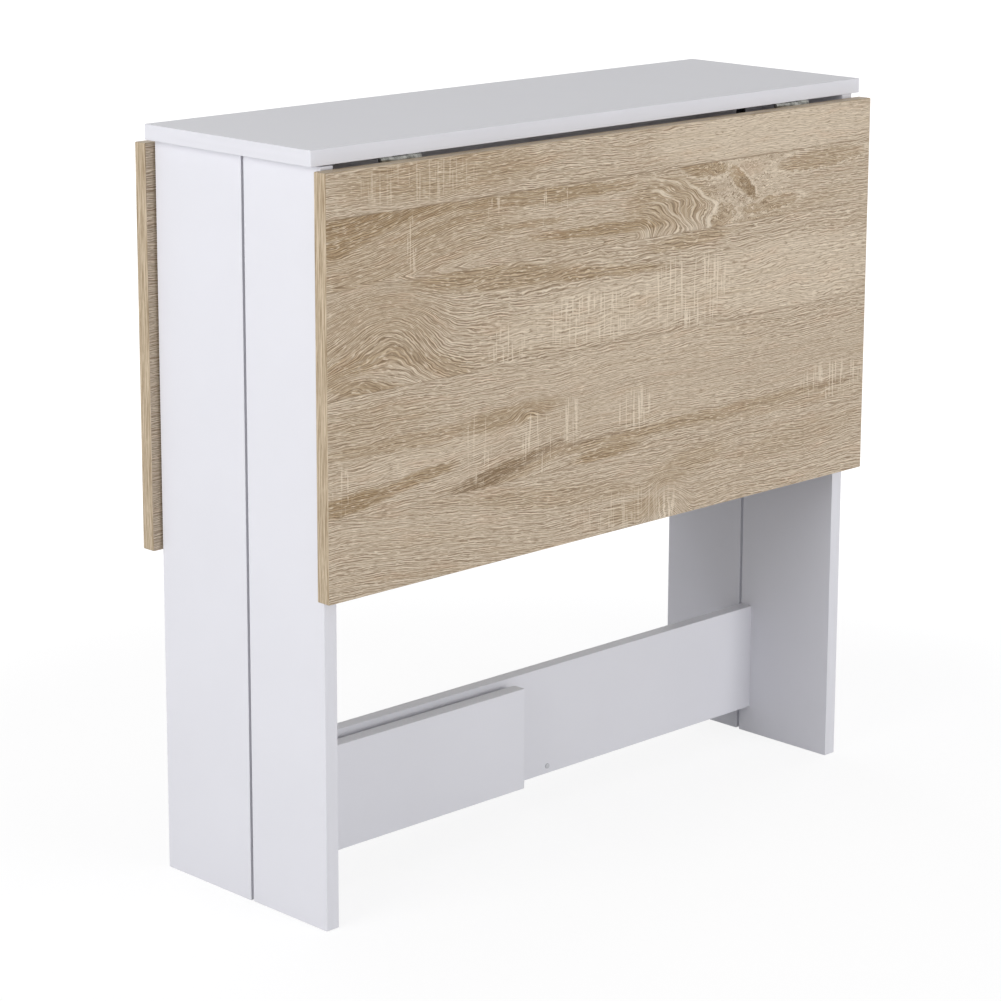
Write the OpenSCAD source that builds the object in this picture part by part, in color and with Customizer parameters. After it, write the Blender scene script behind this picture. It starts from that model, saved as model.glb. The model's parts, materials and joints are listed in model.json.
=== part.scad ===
// Folding gate-leg table with a narrow fixed top, two drop leaves and two swinging gates.
// Drawn folded. X runs along the table, -Y is the front, Z is up and the floor is at zero.
// The rear half is the front half turned half a turn about Z, but its lower gate rail lies lower.

/* [Table] */
// Height of the table from the floor to the top's upper face
table_h = 738; // [680:1:780]
// Length of the fixed top along X
top_len = 760; // [600:5:1000]
// Depth of the fixed top along Y
top_depth = 236; // [200:1:320]
// Thickness of every board
board_t = 15; // [14:0.5:20]
// Thickness of the edging glued round a board
band = 0.8; // [0.4:0.1:2]

/* [Leaves] */
// Height of a hanging leaf, from its hinged edge to its free edge
leaf_drop = 396; // [300:1:450]
// How much shorter than the top a leaf is, at each end
leaf_end_gap = 2; // [0:0.5:10]
// Gap between a raised leaf and the top's long edge
leaf_gap = 0.8; // [0.5:0.1:2]

/* [End panels] */
// Distance from the top's end to a panel's outer face
panel_inset = 12; // [0:1:60]
// Distance from the top's long edge to a panel's outer vertical edge
panel_setback = 0.5; // [0:0.5:20]
// Gap between a fixed panel and the gate panel beside it
panel_gap = 3.5; // [2:0.5:8]
// Clearance between a gate panel and the raised leaf above it
gate_top_clear = 1; // [0.5:0.5:3]
// Clearance between a gate panel and the floor
gate_floor_clear = 0.5; // [0.5:0.5:3]

/* [Stretchers and rails] */
// Height of the long lower and upper stretchers
stretcher_h = 116; // [100:1:140]
// Height of the lower stretcher's underside above the floor
stretcher_z = 30; // [20:1:200]
// How much a gate rail falls short of its stretcher, above and below
rail_short = 4.5; // [2:0.5:10]
// Space between a gate rail and the stretcher behind it
rail_space = 10.5; // [9:0.5:16]
// Drop of the upper gate rail's top edge below the fixed top
upper_rail_drop = 5.5; // [5:0.5:20]
// How much lower the rear gate's lower rail lies than the front gate's
rear_rail_drop = 8; // [0:0.5:14]
// Distance from the table's middle to a gate's hinge axis
gate_axis_x = 22; // [10:1:60]
// Distance from a gate's hinge axis to the end of its rails
rail_end_gap = 2.5; // [2:0.5:6]

/* [Leaf hinges] */
// Distance from a panel's inner face to the middle of a leaf hinge
leaf_hinge_in = 81; // [60:1:150]
// Length of a leaf hinge along its pin
leaf_hinge_len = 50; // [40:1:70]
// Width of a leaf hinge plate, measured from the pin's axis
leaf_plate_w = 22; // [20:1:30]
// Thickness of a leaf hinge plate
leaf_plate_t = 1.5; // [1.2:0.1:1.7]
// Outer radius of a leaf hinge knuckle
leaf_knuckle_r = 2.2; // [2:0.1:2.6]
// Radius of a leaf hinge pin
leaf_pin_r = 1; // [0.8:0.1:1.3]

/* [Gate hinges] */
// Length of a gate hinge along its pin
gate_hinge_len = 96; // [60:1:105]
// Distance from a front gate rail's lower edge up to its hinge
gate_hinge_lift = 0.5; // [0:0.5:9]
// Width of a gate hinge plate, measured from the pin's axis
gate_plate_w = 25; // [22:1:40]
// Thickness of a gate hinge plate
gate_plate_t = 2; // [1.5:0.1:2.5]
// Radius of a gate hinge pin
gate_pin_r = 2.5; // [1.5:0.1:2.8]
// Radius of the bolt that goes right through a stretcher
bolt_r = 1.5; // [1.2:0.1:2]
// Radius of the cap that closes the bolt on the stretcher's far face
bolt_cap_r = 2.8; // [2.2:0.1:4]

/* [Screws and fittings] */
// Radius of a screw's shank
screw_r = 1.5; // [1:0.1:2]
// Radius of a screw's countersunk head
screw_head_r = 2.6; // [2.3:0.1:2.9]
// Radius of a hinge plate's two outer corners
plate_r = 3; // [1:0.5:5]
// Length of a hinge screw
screw_len = 12; // [8:0.5:13]
// Radius of a cam lock
cam_r = 7.5; // [6:0.5:9]
// Depth of a cam lock in its board
cam_depth = 11.5; // [11:0.5:12.5]
// Distance from a board's end to the middle of its cam lock
cam_back = 34; // [24:1:40]
// Radius of a cam bolt
cam_bolt_r = 3; // [2:0.25:3.25]
// Height of a rail's cam locks above and below its middle
cam_spread = 32; // [20:1:36]
// Radius of a wooden dowel
dowel_r = 4; // [3:0.5:5]
// Length of a wooden dowel
dowel_len = 30; // [20:1:33]

/* [Hidden] */
$fn = 48;

white = [0.87, 0.88, 0.90];
white_edge = [0.90, 0.91, 0.93];
oak = [0.70, 0.62, 0.52];
oak_edge = [0.72, 0.65, 0.55];
steel = [0.74, 0.75, 0.76];
zinc = [0.20, 0.20, 0.21];
beech = [0.78, 0.66, 0.48];

// Clearance between a hinge pin and its knuckles, all round
pin_clear = 0.05;
// Clearance between moving metal and whatever it passes
move_clear = 0.3;
// How far a cutting shape reaches past the face it opens
cut = 1;

// The top's underside
under_z = table_h - board_t;
half_len = top_len / 2;
half_depth = top_depth / 2;
// Outer and inner faces of the end panels
panel_x = half_len - panel_inset;
panel_in_x = panel_x - board_t;
// Outer vertical edge of every end panel
panel_y = half_depth - panel_setback;
// The long stretchers lie on the table's middle plane
stretcher_face = board_t / 2;
stretcher_mid = [stretcher_z + stretcher_h / 2, under_z - stretcher_h / 2];

// A gate rail's back face, middle plane and height, and each gate's two levels
rail_back = stretcher_face + rail_space;
rail_y = rail_back + board_t / 2;
rail_h = stretcher_h - 2 * rail_short;
front_rail_mid = [stretcher_mid[0], under_z - upper_rail_drop - rail_h / 2];
rear_rail_mid = front_rail_mid - [rear_rail_drop, 0];

// The leaf hinge axis, and the distance from it to each board that it joins
leaf_offset = leaf_knuckle_r + move_clear;
leaf_axis_y = panel_y;
leaf_axis_z = under_z - leaf_offset;
leaf_hinge_x = panel_in_x - leaf_hinge_in;
leaf_knuckles = 3;
// Inner face and upper edge of a hanging leaf
leaf_y = leaf_axis_y + leaf_offset;
leaf_top_z = leaf_axis_z - leaf_gap - (half_depth - leaf_axis_y);
// Screw places on a leaf hinge plate: along the pin and away from it
leaf_screw_side = 0.34 * leaf_hinge_len;
leaf_screw_spots = [
    [-leaf_screw_side, 0.45 * leaf_plate_w],
    [0, 0.72 * leaf_plate_w],
    [leaf_screw_side, 0.45 * leaf_plate_w]
];

// The gate hinge axis lies midway between the stretcher and the gate rail
gate_offset = rail_space / 2;
gate_axis_y = stretcher_face + gate_offset;
gate_knuckle_r = gate_offset - move_clear - pin_clear;
gate_knuckles = 5;
// The hinges of both gates stand at the same two heights
gate_hinge_mid = [for (z = front_rail_mid)
    z - rail_h / 2 + gate_hinge_lift + gate_hinge_len / 2];
gate_screw_x = 0.48 * gate_plate_w;
gate_screw_edge = 3;
gate_screws = 4;
gate_screw_step = (gate_hinge_len - 2 * gate_screw_edge) / (gate_screws - 1);
gate_screw_z = [for (i = [0:gate_screws - 1])
    gate_screw_edge - gate_hinge_len / 2 + i * gate_screw_step];
pin_head_r = gate_pin_r + 1;
pin_head_h = 1;
// Angle between the points of a plate's rounded corner
plate_arc = 15;

// Cam bolts and dowels reach this far into the board beside them
cam_bolt_grip = 9;
dowel_grip = dowel_len / 3;
cam_slot_w = 1.6;
cam_slot_deep = 1;
bolt_cap_h = 0.8;
recess_w = 0.6;
recess_deep = 0.7;
// Places along a fixed panel's top edge of its two cam locks and its dowel
top_cam_y = [0.3 * panel_y, 0.76 * panel_y];
top_dowel_y = 0.53 * panel_y;

// Edging thickness along each axis, for a board lying flat, facing front and facing sideways
flat_strip = [band, band, 0];
front_strip = [band, 0, band];
side_strip = [0, band, band];
// Stretchers are edged above and below only
stretcher_strip = [0, 0, band];

// A box between two corners
module block(a, b) {
    translate(a) cube(b - a);
}

// Turns the front half of the table into its rear half
module rear() {
    rotate([0, 0, 180]) children();
}

// Two copies, one at each side of the middle
module pair(x) {
    for (s = [-1, 1]) translate([s * x, 0, 0]) children();
}

// The bare board inside its edging
module core(a, b, strip) {
    block(a + strip, b - strip);
}

// The edging round that board
module edging(a, b, strip) {
    difference() {
        block(a, b);
        block([for (i = [0:2]) strip[i] > 0 ? a[i] + strip[i] : a[i] - cut],
              [for (i = [0:2]) strip[i] > 0 ? b[i] - strip[i] : b[i] + cut]);
    }
}

// A countersunk screw driven downwards, with its head's face at z = 0
module screw_form() {
    tip = 2 * screw_r;
    rotate_extrude() polygon([
        [0, 0],
        [screw_head_r, 0],
        [screw_r, screw_r - screw_head_r],
        [screw_r, tip - screw_len],
        [0, -screw_len]
    ]);
}

module screw() {
    difference() {
        screw_form();
        for (a = [0, 90]) rotate([0, 0, a])
            translate([-screw_head_r / 2, -recess_w / 2, -recess_deep])
                cube([screw_head_r, recess_w, recess_deep + cut]);
    }
}

// A fastening at a rail's end: the rail runs along +X from its end face at x = 0,
// and its cam lock opens towards +Y
module cam_hole() {
    translate([cam_back, board_t / 2 - cam_depth, 0])
        rotate([-90, 0, 0]) cylinder(r = cam_r, h = cam_depth + cut);
}

module cam_bolt() {
    translate([-cam_bolt_grip, 0, 0])
        rotate([0, 90, 0]) cylinder(r = cam_bolt_r, h = cam_bolt_grip + cam_back);
}

module cam_lock() {
    difference() {
        translate([cam_back, board_t / 2 - cam_depth, 0])
            rotate([-90, 0, 0]) cylinder(r = cam_r, h = cam_depth);
        translate([cam_back - cam_r / 2, board_t / 2 - cam_slot_deep, -cam_slot_w / 2])
            cube([cam_r, cam_slot_deep + cut, cam_slot_w]);
        translate([cam_back - cam_slot_w / 2, board_t / 2 - cam_slot_deep, -cam_r / 2])
            cube([cam_slot_w, cam_slot_deep + cut, cam_r]);
        cam_bolt();
    }
}

module dowel() {
    translate([-dowel_grip, 0, 0]) rotate([0, 90, 0]) cylinder(r = dowel_r, h = dowel_len);
}

// Left end of a stretcher; the cam locks of the lower one face the front
module stretcher_end(i) {
    translate([-panel_in_x, 0, stretcher_mid[i]]) mirror([0, 1 - i, 0]) children();
}

// Top edge of the rear-left panel, its cam locks on the inner face
module panel_head(y) {
    translate([-panel_in_x - board_t / 2, y, under_z]) rotate([90, 90, 0]) children();
}

// Outer end of a gate rail whose middle is at height z, its cam locks facing the stretcher
module rail_end(z) {
    translate([-panel_in_x, -rail_y, z]) children();
}

module stretcher_bores(i) {
    stretcher_end(i) {
        for (s = [-1, 1]) translate([0, 0, s * cam_spread]) {
            cam_hole();
            cam_bolt();
        }
        dowel();
    }
}

module rail_bores(z) {
    rail_end(z) {
        for (s = [-1, 1]) translate([0, 0, s * cam_spread]) {
            cam_hole();
            cam_bolt();
        }
        dowel();
    }
}

module panel_head_bores() {
    for (y = top_cam_y) panel_head(y) {
        cam_hole();
        cam_bolt();
    }
    panel_head(top_dowel_y) dowel();
}

// The left half of the frame's fastenings
module frame_cams() {
    for (i = [0, 1]) stretcher_end(i)
        for (s = [-1, 1]) translate([0, 0, s * cam_spread]) children();
    for (y = top_cam_y) panel_head(y) children();
}

module gate_cams(mids) {
    for (z = mids) rail_end(z)
        for (s = [-1, 1]) translate([0, 0, s * cam_spread]) children();
}

// A gate hinge stands here, its pin along Z and its plates running towards -X
module gate_hinge_at(i) {
    translate([-gate_axis_x, -gate_axis_y, gate_hinge_mid[i]]) children();
}

// Screw places on the plate against the stretcher, driven towards +Y
module fixed_screw(z) {
    translate([-gate_screw_x, gate_offset - gate_plate_t, z]) rotate([90, 0, 0]) children();
}

// Screw places on the plate against the rail, driven towards -Y
module swing_screw(z) {
    translate([-gate_screw_x, gate_plate_t - gate_offset, z]) rotate([-90, 0, 0]) children();
}

module through_bolt() {
    fixed_screw(gate_screw_z[0]) {
        screw_form();
        translate([0, 0, -gate_plate_t - board_t]) cylinder(r = bolt_r, h = board_t);
    }
}

// Knuckle number i of n on a pin of length len along Z; gap is taken off at both ends
module knuckle(i, n, len, r, gap) {
    first = i == 0 ? 0 : gap;
    last = i == n - 1 ? 0 : gap;
    translate([0, 0, i * len / n - len / 2 + first])
        cylinder(r = r, h = len / n - first - last);
}

// A hinge half: its plate with its own knuckles, cut clear of the other half's
module hinge_half(n, own, len, r, pin_r) {
    difference() {
        union() {
            difference() {
                children();
                for (i = [0:n - 1]) if (i % 2 != own)
                    knuckle(i, n, len, r + move_clear, -move_clear / 2);
            }
            for (i = [0:n - 1]) if (i % 2 == own) knuckle(i, n, len, r, move_clear / 2);
        }
        cylinder(r = pin_r + pin_clear, h = len + 2 * cut, center = true);
    }
}

// A hinge plate that runs from the pin along +X, its upper face at y = 0
module plate(w, len, t) {
    x = w - plate_r;
    z = len / 2 - plate_r;
    rotate([90, 0, 0]) linear_extrude(t) polygon([
        [0, len / 2],
        [0, -len / 2],
        for (a = [-90:plate_arc:0]) [x + plate_r * cos(a), plate_r * sin(a) - z],
        for (a = [0:plate_arc:90]) [x + plate_r * cos(a), plate_r * sin(a) + z]
    ]);
}

module gate_fixed_plate() {
    difference() {
        hinge_half(gate_knuckles, 0, gate_hinge_len, gate_knuckle_r, gate_pin_r)
            translate([0, gate_offset, 0]) mirror([1, 0, 0])
                plate(gate_plate_w, gate_hinge_len, gate_plate_t);
        for (z = gate_screw_z) fixed_screw(z) screw_form();
    }
}

module gate_swing_plate() {
    difference() {
        hinge_half(gate_knuckles, 1, gate_hinge_len, gate_knuckle_r, gate_pin_r)
            translate([0, gate_plate_t - gate_offset, 0]) mirror([1, 0, 0])
                plate(gate_plate_w, gate_hinge_len, gate_plate_t);
        for (z = gate_screw_z) swing_screw(z) screw_form();
    }
}

module gate_pin() {
    translate([0, 0, -gate_hinge_len / 2]) cylinder(r = gate_pin_r, h = gate_hinge_len);
    translate([0, 0, gate_hinge_len / 2]) cylinder(r = pin_head_r, h = pin_head_h);
}

// A front leaf hinge stands here, its pin along X
module leaf_hinges_at() {
    translate([0, -leaf_axis_y, leaf_axis_z]) pair(leaf_hinge_x) children();
}

// Screw places on the plate under the top, driven upwards
module top_screw(spot) {
    translate([spot[0], spot[1], leaf_offset - leaf_plate_t]) rotate([180, 0, 0]) children();
}

// Screw places on the plate behind the hanging leaf, driven towards -Y
module leaf_screw(spot) {
    translate([spot[0], leaf_plate_t - leaf_offset, -spot[1]]) rotate([-90, 0, 0]) children();
}

// The pin lies along Z in a hinge half, so both halves are turned to lie along X
module leaf_top_plate() {
    difference() {
        rotate([0, 90, 0])
            hinge_half(leaf_knuckles, 0, leaf_hinge_len, leaf_knuckle_r, leaf_pin_r)
                translate([-leaf_offset, 0, 0]) rotate([0, 0, 90])
                    plate(leaf_plate_w, leaf_hinge_len, leaf_plate_t);
        for (spot = leaf_screw_spots) top_screw(spot) screw_form();
    }
}

module leaf_leaf_plate() {
    difference() {
        rotate([0, 90, 0])
            hinge_half(leaf_knuckles, 1, leaf_hinge_len, leaf_knuckle_r, leaf_pin_r)
                translate([0, leaf_plate_t - leaf_offset, 0])
                    plate(leaf_plate_w, leaf_hinge_len, leaf_plate_t);
        for (spot = leaf_screw_spots) leaf_screw(spot) screw_form();
    }
}

// Boards as pairs of corners
top_a = [-half_len, -half_depth, under_z];
top_b = [half_len, half_depth, table_h];
fixed_a = [-panel_x, -stretcher_face, 0];
fixed_b = [-panel_in_x, panel_y, under_z];
gate_a = [-panel_x, -panel_y, gate_floor_clear];
gate_b = [-panel_in_x, -stretcher_face - panel_gap, under_z - gate_top_clear];
leaf_a = [leaf_end_gap - half_len, -leaf_y - board_t, leaf_top_z - leaf_drop];
leaf_b = [half_len - leaf_end_gap, -leaf_y, leaf_top_z];
function stretcher_a(i) = [-panel_in_x, -stretcher_face, stretcher_mid[i] - stretcher_h / 2];
function stretcher_b(i) = [panel_in_x, stretcher_face, stretcher_mid[i] + stretcher_h / 2];
function rail_a(z) = [-panel_in_x, -rail_back - board_t, z - rail_h / 2];
function rail_b(z) = [-gate_axis_x - rail_end_gap, -rail_back, z + rail_h / 2];

module fixed_panel() {
    color(white) difference() {
        core(fixed_a, fixed_b, side_strip);
        panel_head_bores();
        for (i = [0, 1]) stretcher_bores(i);
    }
}

module fixed_panel_edging() {
    color(white_edge) difference() {
        edging(fixed_a, fixed_b, side_strip);
        panel_head_bores();
    }
}

module stretcher(i) {
    color(white) difference() {
        core(stretcher_a(i), stretcher_b(i), stretcher_strip);
        stretcher_bores(i);
        rear() stretcher_bores(i);
        for (half = [0, 180]) rotate([0, 0, half]) gate_hinge_at(i) {
            for (z = gate_screw_z) fixed_screw(z) screw_form();
            through_bolt();
        }
    }
}

module stretcher_edging(i) {
    color(white_edge) edging(stretcher_a(i), stretcher_b(i), stretcher_strip);
}

module top_board() {
    color(white) difference() {
        core(top_a, top_b, flat_strip);
        for (half = [0, 180]) rotate([0, 0, half]) {
            panel_head_bores();
            leaf_hinges_at() for (spot = leaf_screw_spots) top_screw(spot) screw_form();
        }
    }
}

module top_edging() {
    color(white_edge) edging(top_a, top_b, flat_strip);
}

module rear_left_panel() {
    fixed_panel();
}

module rear_left_panel_edging() {
    fixed_panel_edging();
}

module front_right_panel() {
    rear() fixed_panel();
}

module front_right_panel_edging() {
    rear() fixed_panel_edging();
}

module lower_stretcher() {
    stretcher(0);
}

module lower_stretcher_edging() {
    stretcher_edging(0);
}

module upper_stretcher() {
    stretcher(1);
}

module upper_stretcher_edging() {
    stretcher_edging(1);
}

module frame_cam_locks() {
    color(zinc) for (half = [0, 180]) rotate([0, 0, half]) frame_cams() cam_lock();
}

module frame_cam_bolts() {
    color(steel) for (half = [0, 180]) rotate([0, 0, half]) frame_cams() cam_bolt();
}

module frame_dowels() {
    color(beech) for (half = [0, 180]) rotate([0, 0, half]) {
        for (i = [0, 1]) stretcher_end(i) dowel();
        panel_head(top_dowel_y) dowel();
    }
}

module gate_panel(mids) {
    color(white) difference() {
        core(gate_a, gate_b, side_strip);
        for (z = mids) rail_bores(z);
    }
}

module front_gate_panel() {
    gate_panel(front_rail_mid);
}

module front_gate_panel_edging() {
    color(white_edge) edging(gate_a, gate_b, side_strip);
}

// A gate rail is edged above, below and at its free end
module gate_rail(mids, i) {
    color(white) difference() {
        block(rail_a(mids[i]) + [0, 0, band], rail_b(mids[i]) - [band, 0, band]);
        rail_bores(mids[i]);
        gate_hinge_at(i) for (z = gate_screw_z) swing_screw(z) screw_form();
    }
}

module gate_rail_edging(mids) {
    color(white_edge) for (z = mids) difference() {
        block(rail_a(z), rail_b(z));
        block(rail_a(z) + [-cut, -cut, band], rail_b(z) + [-band, cut, -band]);
    }
}

module gate_cam_locks(mids) {
    color(zinc) gate_cams(mids) cam_lock();
}

module gate_cam_bolts(mids) {
    color(steel) gate_cams(mids) cam_bolt();
}

module gate_dowels(mids) {
    color(beech) for (z = mids) rail_end(z) dowel();
}

module front_gate_lower_rail() {
    gate_rail(front_rail_mid, 0);
}

module front_gate_upper_rail() {
    gate_rail(front_rail_mid, 1);
}

module front_gate_rail_edging() {
    gate_rail_edging(front_rail_mid);
}

module front_gate_cam_locks() {
    gate_cam_locks(front_rail_mid);
}

module front_gate_cam_bolts() {
    gate_cam_bolts(front_rail_mid);
}

module front_gate_dowels() {
    gate_dowels(front_rail_mid);
}

module front_gate_hinge_fixed_plates() {
    color(steel) for (i = [0, 1]) gate_hinge_at(i) gate_fixed_plate();
}

module front_gate_hinge_swing_plates() {
    color(steel) for (i = [0, 1]) gate_hinge_at(i) gate_swing_plate();
}

module front_gate_hinge_pins() {
    color(steel) for (i = [0, 1]) gate_hinge_at(i) gate_pin();
}

// The lowest hole of the fixed plate takes the through bolt instead of a screw
module front_gate_hinge_fixed_screws() {
    color(steel) for (i = [0, 1]) gate_hinge_at(i)
        for (k = [1:gate_screws - 1]) fixed_screw(gate_screw_z[k]) screw();
}

module front_gate_hinge_swing_screws() {
    color(steel) for (i = [0, 1]) gate_hinge_at(i)
        for (z = gate_screw_z) swing_screw(z) screw();
}

module front_gate_hinge_bolts() {
    color(steel) for (i = [0, 1]) gate_hinge_at(i) {
        through_bolt();
        fixed_screw(gate_screw_z[0]) translate([0, 0, -gate_plate_t - board_t - bolt_cap_h])
            cylinder(r = bolt_cap_r, h = bolt_cap_h);
    }
}

module rear_gate_panel() {
    rear() gate_panel(rear_rail_mid);
}

module rear_gate_panel_edging() {
    rear() front_gate_panel_edging();
}

module rear_gate_lower_rail() {
    rear() gate_rail(rear_rail_mid, 0);
}

module rear_gate_upper_rail() {
    rear() gate_rail(rear_rail_mid, 1);
}

module rear_gate_rail_edging() {
    rear() gate_rail_edging(rear_rail_mid);
}

module rear_gate_cam_locks() {
    rear() gate_cam_locks(rear_rail_mid);
}

module rear_gate_cam_bolts() {
    rear() gate_cam_bolts(rear_rail_mid);
}

module rear_gate_dowels() {
    rear() gate_dowels(rear_rail_mid);
}

module rear_gate_hinge_fixed_plates() {
    rear() front_gate_hinge_fixed_plates();
}

module rear_gate_hinge_swing_plates() {
    rear() front_gate_hinge_swing_plates();
}

module rear_gate_hinge_pins() {
    rear() front_gate_hinge_pins();
}

module rear_gate_hinge_fixed_screws() {
    rear() front_gate_hinge_fixed_screws();
}

module rear_gate_hinge_swing_screws() {
    rear() front_gate_hinge_swing_screws();
}

module rear_gate_hinge_bolts() {
    rear() front_gate_hinge_bolts();
}

module front_leaf() {
    color(oak) difference() {
        core(leaf_a, leaf_b, front_strip);
        leaf_hinges_at() for (spot = leaf_screw_spots) leaf_screw(spot) screw_form();
    }
}

module front_leaf_edging() {
    color(oak_edge) edging(leaf_a, leaf_b, front_strip);
}

module front_leaf_hinge_top_plates() {
    color(steel) leaf_hinges_at() leaf_top_plate();
}

module front_leaf_hinge_leaf_plates() {
    color(steel) leaf_hinges_at() leaf_leaf_plate();
}

module front_leaf_hinge_pins() {
    color(steel) leaf_hinges_at()
        rotate([0, 90, 0]) cylinder(r = leaf_pin_r, h = leaf_hinge_len, center = true);
}

module front_leaf_hinge_top_screws() {
    color(steel) leaf_hinges_at() for (spot = leaf_screw_spots) top_screw(spot) screw();
}

module front_leaf_hinge_leaf_screws() {
    color(steel) leaf_hinges_at() for (spot = leaf_screw_spots) leaf_screw(spot) screw();
}

module rear_leaf() {
    rear() front_leaf();
}

module rear_leaf_edging() {
    rear() front_leaf_edging();
}

module rear_leaf_hinge_top_plates() {
    rear() front_leaf_hinge_top_plates();
}

module rear_leaf_hinge_leaf_plates() {
    rear() front_leaf_hinge_leaf_plates();
}

module rear_leaf_hinge_pins() {
    rear() front_leaf_hinge_pins();
}

module rear_leaf_hinge_top_screws() {
    rear() front_leaf_hinge_top_screws();
}

module rear_leaf_hinge_leaf_screws() {
    rear() front_leaf_hinge_leaf_screws();
}

top_board();
top_edging();
rear_left_panel();
rear_left_panel_edging();
front_right_panel();
front_right_panel_edging();
lower_stretcher();
lower_stretcher_edging();
upper_stretcher();
upper_stretcher_edging();
frame_cam_locks();
frame_cam_bolts();
frame_dowels();
front_gate_panel();
front_gate_panel_edging();
front_gate_lower_rail();
front_gate_upper_rail();
front_gate_rail_edging();
front_gate_cam_locks();
front_gate_cam_bolts();
front_gate_dowels();
front_gate_hinge_fixed_plates();
front_gate_hinge_swing_plates();
front_gate_hinge_pins();
front_gate_hinge_fixed_screws();
front_gate_hinge_swing_screws();
front_gate_hinge_bolts();
rear_gate_panel();
rear_gate_panel_edging();
rear_gate_lower_rail();
rear_gate_upper_rail();
rear_gate_rail_edging();
rear_gate_cam_locks();
rear_gate_cam_bolts();
rear_gate_dowels();
rear_gate_hinge_fixed_plates();
rear_gate_hinge_swing_plates();
rear_gate_hinge_pins();
rear_gate_hinge_fixed_screws();
rear_gate_hinge_swing_screws();
rear_gate_hinge_bolts();
front_leaf();
front_leaf_edging();
front_leaf_hinge_top_plates();
front_leaf_hinge_leaf_plates();
front_leaf_hinge_pins();
front_leaf_hinge_top_screws();
front_leaf_hinge_leaf_screws();
rear_leaf();
rear_leaf_edging();
rear_leaf_hinge_top_plates();
rear_leaf_hinge_leaf_plates();
rear_leaf_hinge_pins();
rear_leaf_hinge_top_screws();
rear_leaf_hinge_leaf_screws();
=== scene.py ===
import json
import math
from functools import reduce
import bmesh
import bpy
import numpy as np
from mathutils import Matrix, Vector

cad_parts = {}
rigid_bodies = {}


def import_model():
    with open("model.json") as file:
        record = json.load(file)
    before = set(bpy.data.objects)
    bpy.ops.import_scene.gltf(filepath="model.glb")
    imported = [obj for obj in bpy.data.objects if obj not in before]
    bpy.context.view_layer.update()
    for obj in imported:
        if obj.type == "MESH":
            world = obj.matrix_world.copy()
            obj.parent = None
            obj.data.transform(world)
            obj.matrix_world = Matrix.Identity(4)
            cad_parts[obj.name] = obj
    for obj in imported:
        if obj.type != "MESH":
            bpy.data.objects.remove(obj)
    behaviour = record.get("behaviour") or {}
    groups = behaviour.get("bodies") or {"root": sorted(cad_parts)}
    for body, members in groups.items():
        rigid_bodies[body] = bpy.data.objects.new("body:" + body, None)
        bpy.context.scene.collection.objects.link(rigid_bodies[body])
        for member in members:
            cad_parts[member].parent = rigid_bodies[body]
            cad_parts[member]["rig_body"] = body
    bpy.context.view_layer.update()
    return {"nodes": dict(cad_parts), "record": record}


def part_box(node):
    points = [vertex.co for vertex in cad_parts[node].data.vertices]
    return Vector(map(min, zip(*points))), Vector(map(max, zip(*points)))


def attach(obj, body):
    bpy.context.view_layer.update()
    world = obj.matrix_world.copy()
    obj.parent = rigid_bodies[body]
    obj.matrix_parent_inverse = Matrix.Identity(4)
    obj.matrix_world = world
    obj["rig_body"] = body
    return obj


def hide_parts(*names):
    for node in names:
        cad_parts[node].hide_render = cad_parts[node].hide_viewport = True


# The folding table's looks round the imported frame: rounded edging, softened metal, finishes, light and camera
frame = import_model()
scene = bpy.context.scene
nodes = frame["nodes"]
slots = {part["node"]: part["material_slot"] for part in frame["record"]["subparts"]}
millimetre = 0.001


# Node materials

# A socket that can be added, multiplied and compared as a number in Python
class Field:
    def __init__(self, nodeTree, socket):
        self.nodeTree = nodeTree
        self.socket = socket

    def maths(self, operation, *others):
        inputs = dict(enumerate((self, *others)))
        return self.nodeTree.add("ShaderNodeMath", {"operation": operation}, inputs)

    def __add__(self, other):
        return self.maths("ADD", other)

    def __radd__(self, other):
        return self.maths("ADD", other)

    def __mul__(self, other):
        return self.maths("MULTIPLY", other)

    def __rmul__(self, other):
        return self.maths("MULTIPLY", other)

    def __sub__(self, other):
        return self.maths("SUBTRACT", other)

    def __rsub__(self, other):
        return (self * -1).maths("ADD", other)

    def __truediv__(self, other):
        return self.maths("DIVIDE", other)

    def __gt__(self, other):
        return self.maths("GREATER_THAN", other)

    def __lt__(self, other):
        return self.maths("LESS_THAN", other)

    # Rises smoothly from 0 at low to 1 at high
    def step(self, low, high):
        return self.nodeTree.add("ShaderNodeMapRange", {"interpolation_type": "SMOOTHSTEP"},
                                 {"Value": self, "From Min": low, "From Max": high})


# A node tree whose nodes are made by add()
class NodeTree:
    def __init__(self, tree):
        self.tree = tree

    def feed(self, socket, value):
        if isinstance(value, Field):
            self.tree.links.new(value.socket, socket)
        else:
            socket.default_value = value

    # A node of this type, its settings first, then its inputs; gives one output
    def add(self, kind, settings=None, inputs=None, output=0):
        node = self.tree.nodes.new(kind)
        for key, value in (settings or {}).items():
            setattr(node, key, value)
        for key, value in (inputs or {}).items():
            self.feed(node.inputs[key], value)
        return Field(self, node.outputs[output])

    # 1 where the camera looks straight at a surface, or sees it mirrored or through glass
    def directView(self):
        ray = self.add("ShaderNodeLightPath").socket.node
        seen = Field(self, ray.outputs["Is Camera Ray"])
        for name in ("Is Glossy Ray", "Is Transmission Ray"):
            seen = seen.maths("MAXIMUM", Field(self, ray.outputs[name]))
        return seen


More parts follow.
